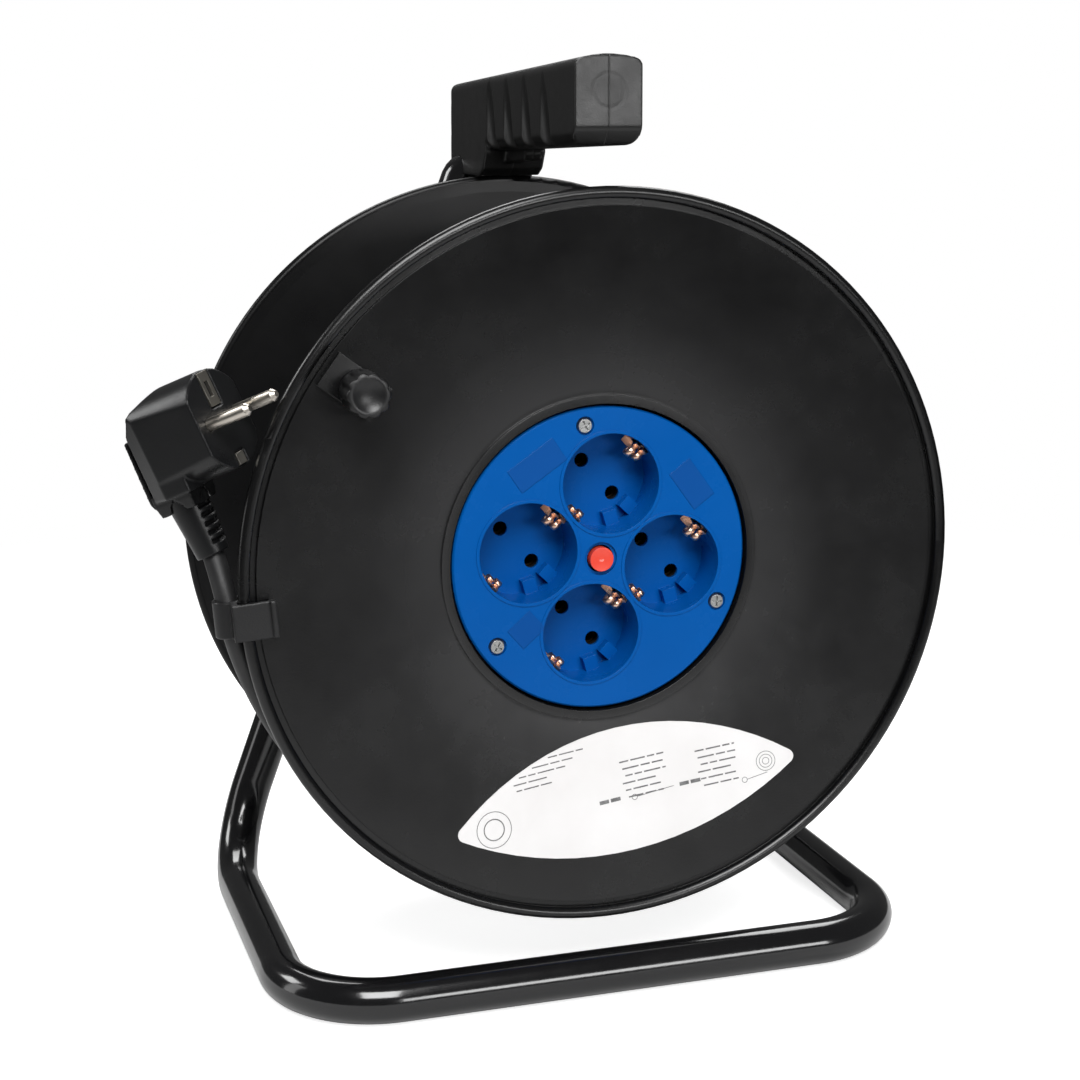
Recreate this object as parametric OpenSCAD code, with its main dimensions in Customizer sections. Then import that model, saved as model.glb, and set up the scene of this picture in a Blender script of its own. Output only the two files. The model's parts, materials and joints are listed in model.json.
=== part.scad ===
// Open drum extension cord reel: tube frame, carry handle, drum with four
// earthed sockets, winding knob, resettable cut-out and a moulded plug.
// Millimetres, +Z up, the sockets face -Y, origin on the floor under the middle.

/* [Drum] */
// Diameter of both drum flanges over the rim
flange_d = 290; // [284:1:292]
// Drum width over both rims
drum_w = 146; // [142:1:148]
// Diameter of the core that the cable is wound on
core_d = 130; // [129:0.5:131]
// Thickness of the flange plates
flange_t = 2.6; // [2.2:0.1:3]
// Depth of the dished middle below the rim plane
dish = 13; // [12:0.5:13.5]

/* [Frame] */
// Outer diameter of the steel tube
tube_d = 18; // [16:1:19]
// Wall thickness of the steel tube
tube_wall = 1.5; // [1:0.1:2]
// Height of the drum axis above the floor
axis_h = 174; // [172:1:180]
// Width over the middles of the two side tubes
foot_w = 257; // [250:1:262]
// Centreline radius of the tube bends
bend_r = 40; // [34:1:44]

/* [Handle] */
// Width of the hand grip
grip_w = 27; // [26:1:28]
// Number of finger grooves
groove_count = 4; // [3:1:5]

/* [Sockets] */
// Diameter of the coloured socket cover
cover_d = 121; // [119:0.5:121.5]
// Inner diameter of a socket well
well_d = 39.8; // [39.4:0.1:40]
// Depth of a socket well
well_depth = 17.5; // [16:0.5:18]
// Distance of the wells from the drum axis
well_r = 30; // [29.9:0.1:30.4]
// Clockwise turn of the socket pattern
pattern_turn = 8; // [0:1:10]
// Travel of the reset button
button_travel = 2.5; // [1.5:0.5:3]

/* [Knob] */
// Diameter of the winding knob
knob_d = 16.8; // [15:0.1:17]
// Length of the winding knob
knob_len = 15; // [13:0.5:15]
// Distance of the knob from the drum axis
knob_r = 121.5; // [118:0.5:122]

/* [Cable] */
// Outer diameter of the cable
cable_d = 8.4; // [8:0.1:8.6]

/* [Hidden] */
$fn = 96;

depth = 195.5;                  // from the front tube to the back of the handle
rim_y = 14.5 - depth / 2;       // front rim plane of the drum
leg_y = rim_y + 170;            // plane of the two rear legs
back_y = rim_y + 181;           // back face of the handle
tube_r = tube_d / 2;
flange_r = flange_d / 2;
core_r = core_d / 2;
bead_r = 2.3;                   // rounded bead of the flange rim
plate_r = flange_r - 7;         // outer edge of the conical flange plate
slope = (dish - 2.5) / (plate_r - core_r);
collar_in = cover_d / 2 + 1.1;
collar_out = core_r;
hub_r = 16;
bush_r = 11.5;
spindle_r = 10;
running = 0.05;                 // radial clearance of a running fit
bore_r = spindle_r + running;
wells = [for (i = [0:3]) 90 * i + 90 - pattern_turn];
earth_angle = 42.6;             // direction of the earth clips in every well
screw_angles = [97, -23, 217];
screw_r = 53.5;
knob_angle = 143.4;
boss_z = -0.8;                  // face of the knob boss, just behind the rim plane
cable_r = cable_d / 2;
gap = 0.3;
cover_z = -12.6;                // face of the socket cover
cover_t = 3;
floor_z = cover_z - well_depth; // floor of the wells
floor_t = 1.6;
base_z = floor_z - floor_t;     // face of the contact base
base_t = 13;
pin_pitch = 19;
clip_angle = 184.4;
layers = 3;
layer_h = 0.87 * cable_d;       // height that one layer adds to the winding
wind_r = core_r + cable_d + (layers - 1) * layer_h;
top_r = wind_r + layer_h;
top_end = -113;                 // where the partial fourth layer stops

// Middle line of the lead on the drum: right, up, towards the viewer
lead_route = [[85, -37.5, -118.2], [76.6, -53.4, -118.2], [67.2, -68.4, -117.8],
    [55.8, -83.6, -114.9], [40.4, -95.4, -107], [21, -105, -94], [0, -112, -79],
    [-24, -116, -64], [-48, -115, -51], [-71, -108, -39], [-92, -96, -29], [-110, -82, -21],
    [-124, -66, -16], [-134, -49, -12.6], [-140.6, -34, -10.8], [-144.9, -21, -10],
    [-146.9, -11.3, -10], [-148.3, -3, -11.3], [-149.8, 5, -14], [-151.7, 13.5, -17.3]];
// Route of the short tail inside the core
tail_route = [[0, -64, -121], [0, -57, -121], [0, -50, -121], [0, -39.3, -118.9], [0, -30.2, -112.8],
    [0.5, -24.6, -103.7], [2, -22, -93], [5, -21.6, -83], [9, -22.5, -74], [13.5, -24.5, -65],
    [17, -26, -57]];

// Plug placing from the middle of the front rim: right, back, up, then its tilt
plug_at = [-147.6, 4, 64.6];
plug_turn = [9, -22, -43.5];

function zf(r) = -2.5 - (plate_r - r) * slope;      // outer surface of a flange plate
function polar(r, a) = [r * cos(a), r * sin(a)];
function unit(v) = v / norm(v);

// ---- shared helpers ----

// Drum coordinates: x right, y up, z towards the viewer, z = 0 in the rim plane
module on_axis() {
    translate([0, rim_y, axis_h]) rotate([90, 0, 0]) children();
}

// Copies to one spot of a bolt circle
module at_polar(r, a) {
    rotate([0, 0, a]) translate([r, 0, 0]) children();
}

// Round bar or tube between two points
module rod(a, b, r, hole = 0) {
    d = b - a;
    len = norm(d);
    translate(a) rotate([0, acos(d[2] / len), atan2(d[1], d[0])])
        difference() {
            cylinder(h = len, r = r);
            if (hole > 0) translate([0, 0, -1]) cylinder(h = len + 2, r = hole);
        }
}

// Ring or disc between two depths
module ring(z0, z1, r, hole = 0) {
    translate([0, 0, z0]) difference() {
        cylinder(h = z1 - z0, r = r);
        if (hole > 0) translate([0, 0, -1]) cylinder(h = z1 - z0 + 2, r = hole);
    }
}

// Quarter bend of radius r: it arrives at corner p along u and leaves along v
module quarter_bend(p, u, v, r) {
    w = cross(-v, u);
    c = p - bend_r * u + bend_r * v;
    multmatrix([[-v[0], u[0], w[0], c[0]], [-v[1], u[1], w[1], c[1]],
                [-v[2], u[2], w[2], c[2]], [0, 0, 0, 1]])
        rotate_extrude(angle = 90) translate([bend_r, 0]) circle(r = r);
}

// Plain tube swept along the points of a route, flat at both ends
module swept_tube(route, r, sides = 10) {
    n = len(route);
    fine = [for (i = [0:n - 2], k = [0:2]) catmull(route, i, k / 3), route[n - 1]];
    m = len(fine);
    rings = [for (i = [0:m - 1]) let (
        t = unit(fine[min(i + 1, m - 1)] - fine[max(i - 1, 0)]),
        s = unit(cross(t, [0, 0, 1])),
        q = cross(s, t))
        for (j = [0:sides - 1]) fine[i] + r * (cos(360 * j / sides) * s + sin(360 * j / sides) * q)];
    walls = [for (i = [0:m - 2], j = [0:sides - 1]) let (k = (j + 1) % sides)
        [i * sides + j, i * sides + k, (i + 1) * sides + k, (i + 1) * sides + j]];
    ends = [[for (j = [0:sides - 1]) sides - 1 - j],
            [for (j = [0:sides - 1]) (m - 1) * sides + j]];
    polyhedron(rings, concat(walls, ends));
}
function catmull(p, i, t) = let (n = len(p), a = p[max(i - 1, 0)], b = p[i],
    c = p[min(i + 1, n - 1)], d = p[min(i + 2, n - 1)])
    0.5 * (2 * b + (c - a) * t + (2 * a - 5 * b + 4 * c - d) * t * t
        + (3 * b - a - 3 * c + d) * t * t * t);

// Cross-head screw along -z with its head on top of z = 0
module screw(head_r, head_h, shank_r, len) {
    difference() {
        union() {
            cylinder(h = head_h, r1 = head_r, r2 = head_r * 0.8);
            translate([0, 0, -len]) cylinder(h = len, r = shank_r);
        }
        for (a = [0, 90]) rotate([0, 0, a])
            translate([-head_r * 0.6, -0.35, head_h - 0.9]) cube([head_r * 1.2, 0.7, 2]);
    }
}

// ---- frame ----

leg_top = [11.8, leg_y, axis_h + 143];
foot_corner = [foot_w / 2, leg_y, tube_r];
front_corner = [foot_w / 2, rim_y - 14.5 + tube_r, tube_r];
leg_dir = unit(foot_corner - leg_top);
tongue_w = 20;
tongue_y = leg_y - 2;
tongue_t = 5;
tongue_top = axis_h + 177;

module mirrored_x() {
    children();
    mirror([1, 0, 0]) children();
}

// Upper end of one leg, pressed flat where the handle grips it
module leg_tongue() {
    hull() {
        translate(leg_top) rotate([0, 180 - acos(-leg_dir[2]), 0])
            cylinder(h = 1.2, r = tube_r - 0.5, $fn = 32);
        translate([0.5, tongue_y - tongue_w / 2, axis_h + 158]) cube([tongue_t, tongue_w, 1]);
    }
    translate([0.5, tongue_y - tongue_w / 2, axis_h + 158.5])
        cube([tongue_t, tongue_w, tongue_top - axis_h - 158.5]);
}

module tongue_holes() {
    for (p = tongue_bolts)
        translate([-20, p[0], p[1]]) rotate([0, 90, 0]) cylinder(h = 40, r = 3.1);
}

// One bent bar from leg to leg; the bends are a hair thinner than the straights
module bent_bar(r) {
    lap = 1.5;
    thin = 0.15;
    side = [0, bend_r - lap, 0];
    across_front = [front_corner[0] - bend_r + lap, 0, 0];
    mid_front = [0, front_corner[1], tube_r];
    mirrored_x() {
        rod(leg_top, foot_corner - (bend_r - lap) * leg_dir, r);
        quarter_bend(foot_corner, leg_dir, [0, -1, 0], r - thin);
        rod(foot_corner - side, front_corner + side, r);
        quarter_bend(front_corner, [0, -1, 0], [-1, 0, 0], r - thin);
    }
    rod(mid_front - across_front, mid_front + across_front, r);
}

module frame_tube() {
    color("#101012") {
        difference() {
            bent_bar(tube_r);
            bent_bar(tube_r - tube_wall);
        }
        mirrored_x() difference() {
            leg_tongue();
            tongue_holes();
        }
    }
}

bracket_y = rim_y + 157.7;
bracket_t = 4;
bracket_h = 44;

// Plate welded across the legs behind the drum, with turned stiffening lips
module axle_bracket() {
    half = 74;
    color("#161618") difference() {
        union() {
            translate([-half, bracket_y, axis_h - bracket_h / 2]) cube([2 * half, bracket_t, bracket_h]);
            for (s = [-1, 1]) translate([-40, bracket_y, axis_h + s * (bracket_h / 2 - 1.5) - 1.5])
                cube([80, 16, 3]);
            translate([0, bracket_y + bracket_t, axis_h]) rotate([-90, 0, 0]) cylinder(h = 6, r = 17);
        }
        translate([0, bracket_y - 1, axis_h]) rotate([-90, 0, 0]) cylinder(h = 30, r = spindle_r);
        for (s = [-1, 1]) translate([s * half, bracket_y - 1, axis_h + bracket_h / 2])
            rotate([-90, 0, 0]) rotate([0, 0, 45]) cube([24, 24, 30], center = true);
    }
}

module drum_spindle() {
    color("#b9bcc0") on_axis() {
        ring(-170, -95, spindle_r);
        ring(-95, -82, 6);
    }
}

module spindle_washer() {
    color("#c9ccd0") on_axis() ring(-95, -92.6, 14, 6);
}

module spindle_nut() {
    color("#c9ccd0") on_axis() difference() {
        translate([0, 0, -92.6]) cylinder(h = 8, r = 10.9, $fn = 6);
        translate([0, 0, -93]) cylinder(h = 10, r = 6);
    }
}

module thrust_washer() {
    color("#d8d6cc") on_axis() ring(-157.7, -152.4, 17, spindle_r);
}

// ---- handle ----

tab_w = 8;
tongue_bolts = [[tongue_y, axis_h + 170]];
shell_screws = [[rim_y + 28, axis_h + 175], [rim_y + 112, axis_h + 170], tongue_bolts[0]];
groove_r = 9;
groove_pitch = 25;

// Side outline of the grip and its rear block, y to the right and z up
module grip_outline() {
    y0 = rim_y;
    offset(r = 3) offset(delta = -3) polygon([[y0 + 4, axis_h + 195], [back_y - 2, axis_h + 195],
            [back_y, axis_h + 150], [back_y - 5, axis_h + 145], [y0 + 134, axis_h + 145],
            [y0 + 128, axis_h + 148], [y0 + 123, axis_h + 156.2], [y0 + 9, axis_h + 159.6],
            [y0 + 4, axis_h + 166]]);
}

// Cross-section of the grip below its crowned top
module grip_section() {
    crown_r = 41;
    offset(r = 3.5) offset(delta = -3.5) intersection() {
        translate([-grip_w / 2, -60]) square([grip_w, 60]);
        translate([0, -crown_r]) circle(r = crown_r);
    }
}

// Thin web under the grip in front of the rear block
module tab_outline() {
    y0 = rim_y;
    offset(r = 3) offset(delta = -3) polygon([[y0 + 98, axis_h + 164], [y0 + 98, axis_h + 152.3],
        [y0 + 160, axis_h + 149], [y0 + 160, axis_h + 164]]);
}

// Extrudes an outline in the y-z plane across the handle
module across(width) {
    rotate([90, 0, 90]) translate([0, 0, -width / 2]) linear_extrude(width) children();
}

// The top falls gently to the rear; the side grooves get deeper towards the bottom
module handle_body() {
    fall = 2.5;
    difference() {
        union() {
            intersection() {
                across(grip_w + 2) grip_outline();
                translate([0, rim_y + 190, axis_h + 185.2]) rotate([90 - fall, 0, 0])
                    linear_extrude(200) grip_section();
            }
            across(tab_w) tab_outline();
        }
        for (s = [-1, 1]) {
            for (i = [0:groove_count - 1]) finger_groove(s, rim_y + 44 + i * groove_pitch);
            long_edge(s, [rim_y - 4, axis_h + 160], 1.7, 128);
        }
    }
}

module finger_groove(side, y) {
    top_x = side * (grip_w / 2 + groove_r + 1);
    rod([top_x, y, axis_h + 197], [top_x - side * 4.8, y - 5, axis_h + 151], groove_r);
}

// Cutter that rounds a lower edge: it starts at a y-z point and falls by an angle
module long_edge(side, start, fall, len) {
    edge_r = 5;
    translate([side * grip_w / 2, start[0], start[1]]) rotate([-90 - fall, 0, 0])
        translate([-side * edge_r, -edge_r, 0]) linear_extrude(len) difference() {
            translate([side > 0 ? 0 : -2 * edge_r, 0]) square(2 * edge_r);
            circle(r = edge_r);
        }
}

module handle_shell(side) {
    difference() {
        intersection() {
            handle_body();
            translate([side > 0 ? 0 : -30, rim_y - 10, axis_h + 100]) cube([30, 220, 120]);
        }
        mirrored_x() leg_tongue();
        for (p = shell_screws) {
            translate([-9, p[0], p[1]]) rotate([0, 90, 0]) cylinder(h = 30, r = 2);
            translate([10.5, p[0], p[1]]) rotate([0, 90, 0]) cylinder(h = 10, r = 4.3);
        }
    }
}

module handle_shell_left() {
    color("#18181a") handle_shell(-1);
}

module handle_shell_right() {
    color("#18181a") handle_shell(1);
}

module handle_screws() {
    color("#8f9296") for (p = shell_screws)
        translate([10.5, p[0], p[1]]) rotate([0, 90, 0]) screw(3.8, 2.2, 2, 18);
}

// ---- drum ----

// Profile of a flange, rim plane at z = 0 and dished towards -z
module flange_profile(inner, flat_to) {
    back = zf(flat_to) - flange_t;
    translate([flange_r - bead_r, -bead_r]) circle(r = bead_r, $fn = 48);
    polygon([[inner, zf(flat_to)], [flat_to, zf(flat_to)], [plate_r, zf(plate_r)],
        [plate_r, -4], [flange_r - bead_r, -3.8], [flange_r - bead_r, -4.55],
        [plate_r, zf(plate_r) - flange_t], [flat_to, back], [inner, back]]);
}

module knob_boss() {
    r0 = knob_r - 10;
    r1 = knob_r + 14.5;
    rotate([0, 0, knob_angle]) rotate([90, 0, 0]) translate([0, 0, -7.3]) linear_extrude(14.6)
        polygon([[r0, boss_z], [r1, boss_z], [r1, zf(r1) - 1], [r0, zf(r0) - 1]]);
}

module front_flange() {
    color("#1b1b1d") on_axis() difference() {
        union() {
            rotate_extrude() {
                flange_profile(collar_in, core_r + 1);
                translate([collar_in, -20]) square([core_r - 2.6 - collar_in, 6]);
                translate([collar_in, front_in]) square([collar_out - collar_in, -11.4 - front_in]);
            }
            knob_boss();
            at_polar(flange_r - 1.35, 157) translate([0, 0, -bead_r]) sphere(r = 1.5, $fn = 32);
        }
        at_polar(knob_r, knob_angle) translate([0, 0, -20]) cylinder(h = 30, r = 3);
    }
}

module rear_flange() {
    inner = core_r - 0.5;
    color("#1b1b1d") on_axis() {
        difference() {
            union() {
                translate([0, 0, -drum_w]) mirror([0, 0, 1]) rotate_extrude()
                    flange_profile(inner, core_r + 1);
                ring(rear_out, rear_in, core_r + 0.5);
                ring(-152, rear_in + 34, hub_r);
                for (a = [0:90:180]) rotate([0, 0, a]) translate([hub_r - 1, -1.25, rear_out + 1])
                    cube([40, 2.5, 26]);
            }
            translate([0, 0, -153]) cylinder(h = 80, r = bush_r);
            for (a = boss_angles) at_polar(boss_at, a) translate([0, 0, -140]) cylinder(h = 20, r = 2.1);
        }
    }
}
rear_out = dish - 2 - drum_w + 2;
rear_in = rear_out + flange_t;
front_in = zf(core_r + 1) - flange_t;
boss_at = core_r - 9;
boss_angles = [45:90:315];

module drum_core() {
    wall = 2.5;
    color("#161618") on_axis() difference() {
        union() {
            ring(rear_in, front_in, core_r, core_r - wall);
            ring(base_z - base_t - 3, base_z - base_t, core_r - wall + 0.1, core_r - 11);
            for (a = boss_angles) at_polar(boss_at, a) {
                ring(rear_in, rear_in + 40, 4.6);
                translate([0, -1.5, rear_in]) cube([7.5, 3, 40]);
            }
        }
        for (a = boss_angles) at_polar(boss_at, a) translate([0, 0, rear_in - 1])
            cylinder(h = 30, r = 1.8);
        for (a = screw_angles) at_polar(screw_r, a) translate([0, 0, -60]) cylinder(h = 20, r = 1.5);
        translate([0, 0, -121]) rotate([90, 0, 0]) cylinder(h = 100, r = cable_r + 0.6);
    }
}

module core_screws() {
    color("#9a9da1") on_axis() for (a = boss_angles) at_polar(boss_at, a)
        translate([0, 0, rear_out]) rotate([180, 0, 0]) screw(3.9, 2.4, 1.8, 24);
}

module hub_bush() {
    color("#e4e0d2") on_axis() ring(-152, rear_in + 34, bush_r, bore_r);
}

// ---- sockets ----

// Places children at every well with x along its earth axis
module each_well() {
    for (a = wells) at_polar(well_r, a) rotate([0, 0, earth_angle - a]) children();
}

// Two shallow square stops on the floor of a well
module key_stop(a) {
    rotate([0, 0, a - earth_angle]) translate([well_d / 2 - 5.8, -2.8, floor_z])
        cube([6.2, 5.6, 4]);
}

module faint_panel(r, a, w, h) {
    at_polar(r, a) translate([-h / 2, -w / 2, cover_z - 1]) cube([h, w, 1.2]);
}

cup_r = well_d / 2 + 1.2;
cup_top = cover_z - cover_t;

// Coloured plate with a raised rim round every well and a collar for the button
module socket_cover() {
    color("#0b5fb0") on_axis() difference() {
        union() {
            ring(cup_top, cover_z - 0.8, cover_d / 2);
            translate([0, 0, cover_z - 0.8])
                cylinder(h = 0.8, r1 = cover_d / 2, r2 = cover_d / 2 - 0.7);
            each_well() ring(cover_z - 1, cover_z + 0.3, cup_r + 0.1);
            ring(-26, cover_z - 1, 7.2);
            for (a = screw_angles) at_polar(screw_r, a) ring(base_z, cover_z - 1, 4);
            faint_panel(46.6, 124, 22, 10.5);
            faint_panel(47, 36, 18, 10.5);
            faint_panel(40.5, 220.5, 10, 12);
        }
        each_well() ring(floor_z, 0, well_d / 2);
        ring(-30, 0, 5.5);
        ring(cover_z - 1, 0, 6.6);
        for (a = screw_angles) at_polar(screw_r, a) {
            ring(cover_z - 1.3, 0, 3.7);
            ring(base_z - 1, -5, 1.8);
        }
    }
}

// Four cups behind the cover, with pin holes, earth slots and key stops
module socket_wells() {
    color("#0b5fb0") on_axis() each_well() difference() {
        ring(base_z, cup_top, cup_r);
        difference() {
            union() {
                ring(floor_z, 0, well_d / 2);
                for (s = [-1, 1]) {
                    translate([0, s * pin_pitch / 2, base_z - 1]) cylinder(h = 10, r = 2.9);
                    translate([s * 19.6 - 2.4, -3.6, base_z - 1]) cube([4.8, 7.2, well_depth]);
                }
            }
            for (a = [-74, -44]) key_stop(a);
        }
    }
}

module contact_spots(side) {
    each_well() translate([0, side * pin_pitch / 2, 0]) children();
}

module socket_base() {
    color("#141416") on_axis() difference() {
        ring(base_z - base_t, base_z, 58);
        ring(-70, 0, 5.4);
        for (s = [-1, 1]) contact_spots(s) translate([0, 0, -60]) cylinder(h = 40, r = 3.6);
        each_well() translate([-21.2, -3.4, base_z - 1.4]) cube([42.4, 6.8, 5]);
        for (a = screw_angles) at_polar(screw_r, a) translate([0, 0, -60]) cylinder(h = 60, r = 1.6);
    }
}

// Insulating disc that closes the back of the contact base
module socket_back() {
    z1 = base_z - base_t - 5.2;
    color("#202022") on_axis() difference() {
        union() {
            ring(z1 - 3, z1, 50);
            for (a = [30, 150, 270]) at_polar(45, a) ring(z1 - 1, base_z - base_t, 3);
        }
        ring(-80, 0, 5.6);
    }
}

module cover_screws() {
    color("#c3c7cc") on_axis() for (a = screw_angles) at_polar(screw_r, a)
        translate([0, 0, cover_z - 1.3]) rotate([0, 0, 20]) screw(3.3, 1.5, 1.5, 33);
}

// Sleeves for one pole and the star-shaped bar that joins them
module pole_contacts(side, bar_z) {
    difference() {
        union() {
            contact_spots(side) ring(bar_z - 0.3, base_z - 4.5, 3.5);
            for (a = wells)
                let (p = polar(well_r, a) + side * pin_pitch / 2 * polar(1, earth_angle + 90))
                rotate([0, 0, atan2(p[1], p[0])]) translate([6.4, -2.5, bar_z])
                    cube([norm(p) - 6.4, 5, 1.2]);
            ring(bar_z - 0.2, bar_z + 1.4, 9);
        }
        ring(-80, 0, 6.2);
        contact_spots(side) translate([0, 0, -80]) cylinder(h = 60, r = 2.45);
    }
}

module line_contacts() {
    color("#b5843c") on_axis() pole_contacts(1, base_z - base_t - 1.6);
}

module neutral_contacts() {
    color("#b5843c") on_axis() pole_contacts(-1, base_z - base_t - 4.6);
}

// Side outline of a sprung clip with its curled end, depth below the rim to the right
module earth_clip_outline() {
    root = 0.5 - base_z;
    top = -cover_z;
    polygon([[2.2, root], [3.2, root], [3.2, top + 4.5], [0.9, top + 3.2],
        [-0.4, top + 6.5], [0.5, top + 6.9], [1.4, top + 4.6], [2.2, top + 5.2]]);
}

// Earth strip of every well with its two sprung clips
module earth_contacts() {
    color("#c0793a") on_axis() each_well() {
        translate([-20.8, -3, base_z - 1.3]) cube([41.6, 6, 1]);
        for (s = [0, 180]) rotate([0, 0, s]) difference() {
            translate([17.6, -3, 0]) rotate([-90, 0, 0]) linear_extrude(6) earth_clip_outline();
            translate([17, -0.6, cover_z - 8.2]) cube([2.6, 1.2, 6]);
        }
    }
}

module thermal_cutout() {
    z1 = -57.6;
    color("#2a2a2c") on_axis() difference() {
        union() {
            translate([-15, -7.5, z1 - 20]) cube([30, 15, 20]);
            ring(z1, -34, 5.2);
            for (s = [-1, 1]) translate([s * 9 - 3, -0.4, z1 - 22]) cube([6, 0.8, 3]);
        }
        translate([0, 0, -46]) cylinder(h = 20, r = 2.6);
    }
}

module reset_button() {
    color("#d9251d") on_axis() {
        difference() {
            ring(-20, -11, 4.8);
            translate([0, 0, 27]) sphere(r = 38.6);
        }
        ring(-42, -20, 2.5);
    }
}

// ---- knob ----

module at_knob() {
    at_polar(knob_r, knob_angle) children();
}

module knob_pin() {
    color("#aeb1b5") on_axis() at_knob() {
        ring(-8.4, 11, 3);
        ring(8.4, 9.8, 3.5);
        ring(-10.4, -8.4, 5.2);
    }
}

module winding_knob() {
    flutes = 10;
    front = knob_len - 0.5;
    color("#202023") on_axis() at_knob() difference() {
        union() {
            ring(-0.5, front, knob_d / 2 - 0.9);
            ring(-0.5, 1.4, knob_d / 2 - 0.2);
            for (a = [0:360 / flutes:359]) at_polar(knob_d / 2 - 2.4, a) ring(1, front - 0.3, 2.4);
        }
        translate([0, 0, front + 9.6]) sphere(r = 11.4);
        translate([0, 0, -1]) cylinder(h = 12.4, r = 3 + running);
        ring(8.2, 10.1, 3.5 + running);
    }
}

// ---- label ----

// Leaf-shaped sticker that follows the cone of the front flange
module drum_label() {
    lift = 0.3;
    color("#f4f4f2") on_axis() intersection() {
        rotate_extrude() polygon([[core_r + 2, zf(core_r + 2)], [plate_r - 1, zf(plate_r - 1)],
            [plate_r - 1, zf(plate_r - 1) + lift], [core_r + 2, zf(core_r + 2) + lift]]);
        translate([9.6, -96.5, -30]) rotate([0, 0, 7.6]) linear_extrude(40) leaf();
    }
}

// Leaf outline: two arcs that meet in rounded tips
module leaf() {
    offset(r = 3) offset(delta = -3) intersection() {
        translate([0, -88.9]) circle(r = 116);
        translate([0, 107.2]) circle(r = 130);
    }
}

// ---- cable inside and on the drum ----

module cable_clamp() {
    color("#2c2c2e") on_axis() difference() {
        translate([-11, -62, -128]) cube([22, 12, 14]);
        translate([0, 0, -121]) rotate([90, 0, 0]) cylinder(h = 100, r = cable_r + 0.05);
        translate([-12, -70, -140]) cube([24, 8.5, 40]);
        for (s = [-1, 1]) translate([s * 8, -40, -121]) rotate([90, 0, 0]) cylinder(h = 30, r = 1.6);
    }
}

module clamp_screws() {
    color("#9a9da1") on_axis() for (s = [-1, 1])
        translate([s * 8, -50, -121]) rotate([-90, 0, 0]) screw(2.9, 1.8, 1.6, 11);
}

module cable_tail() {
    color("#1a1a1c") on_axis() swept_tube(tail_route, cable_r - 0.2, 10);
}

// Full layers of cable with the partial layer on top
module cable_winding() {
    r0 = core_r + 0.1;
    e = 0.4;
    color("#1d1d1f") on_axis() rotate_extrude() polygon([[r0, front_in - e],
        [wind_r, front_in - e], [wind_r, -18.6], [top_r, -18.6], [top_r, top_end],
        [wind_r, top_end], [wind_r, rear_in + e], [r0, rear_in + e]]);
}

// ---- lead, clip and plug ----

// Clip over the rim bead with a snap ring for the cable behind it
module rim_clip() {
    width = 14;
    inner = flange_r - 13.4;
    hold = [flange_r + 2.3, -10];
    color("#1c1c1e") on_axis() rotate([0, 0, clip_angle]) rotate([90, 0, 0])
        translate([0, 0, -width / 2]) difference() {
            linear_extrude(width) difference() {
                union() {
                    translate([inner, gap]) square([flange_r + 3 - inner, 2]);
                    translate([inner, -0.5]) square([2.2, 3.8]);
                    translate([flange_r + gap, -8]) square([2.4, 10]);
                    translate(hold) circle(r = cable_r + 1.9);
                }
                translate(hold) circle(r = cable_r);
                translate([flange_r - bead_r, -bead_r]) circle(r = bead_r + gap);
                translate(hold + [1.2, -7]) rotate([0, 0, 24]) square([3.4, 8], center = true);
            }
        }
}

module cable_lead() {
    color("#1d1d1f") on_axis() swept_tube(lead_route, cable_r, 10);
}

// Plug coordinates: x along the pins, y across, z up; the cable leaves along -z
module at_plug() {
    translate([0, rim_y, axis_h]) translate(plug_at) rotate(plug_turn) children();
}

sleeve_top = [-30.4, 0, -19];
sleeve_len = 26;
face_r = 19;
pin_r = 2.4;
pin_len = 19;
pin_root = 11;                  // length of pin held inside the body
root_r = 2;

// Sleeve that tapers down to the cable, with a ladder of slots on two sides
module strain_relief() {
    slots = 5;
    color("#19191b") at_plug() translate(sleeve_top) rotate([0, 180, 0]) difference() {
        cylinder(h = sleeve_len, r1 = 8.2, r2 = 6.4);
        for (i = [0:slots - 1], s = [-1, 1])
            translate([s * 9.4 - 5, -4.2, 6.6 + i * 3.5]) cube([10, 8.4, 1.7]);
        translate([0, 0, sleeve_len - 6]) cylinder(h = 10, r = cable_r);
    }
}

// Side outline of the plug, x along the pins and z up
module plug_outline() {
    polygon([[0, 20], [-18, 20], [-29, 15], [-37.2, 6.7], [-38, -19.3], [-17, -19.3],
        [-16, -20], [0, -20]]);
}

// Angled body: round face, flat flanks that draw in to a thumb ridge, and a neck for the sleeve
module plug_body() {
    flank = 16;
    color("#161618") at_plug() difference() {
        union() {
            intersection() {
                rotate([90, 0, 0]) translate([0, 0, -flank]) linear_extrude(2 * flank) plug_outline();
                linear_extrude(60, center = true) polygon([[0, -flank], [0, flank], [-28, flank - 1.5],
                        [-38, 8.5], [-38, -8.5], [-28, 1.5 - flank]]);
                union() {
                    rotate([0, -90, 0]) cylinder(h = 34, r = face_r);
                    translate([-40, -14.2, -19.4]) cube([23, 28.4, 31.5]);
                }
            }
            translate([-41, -4, -20]) cube([8, 8, 24]);
            rotate([90, 0, 0]) translate([0, 0, -6]) linear_extrude(12)
                polygon([[-40.4, 5.6], [-41.6, 5], [-42.7, -19.3], [-41.6, -21.8], [-40.4, -21.8]]);
            hull() {
                translate([-39.4, -8.5, -21]) cube([17.4, 17, 4]);
                translate([-38.8, -7.6, -25.5]) cube([16, 15.2, 1]);
            }
        }
        for (s = [-1, 1]) translate([1, s * pin_pitch / 2, 0]) rotate([0, -90, 0])
            cylinder(h = pin_root + 1, r = root_r);
        translate([-1.4, -3.9, 4.5]) cube([3, 7.8, 20]);
        translate([-1.4, -3.2, -24]) cube([3, 6.4, 11]);
        translate(sleeve_top - [0, 0, 20]) cylinder(h = 20, r = 8.2);
    }
}

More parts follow.
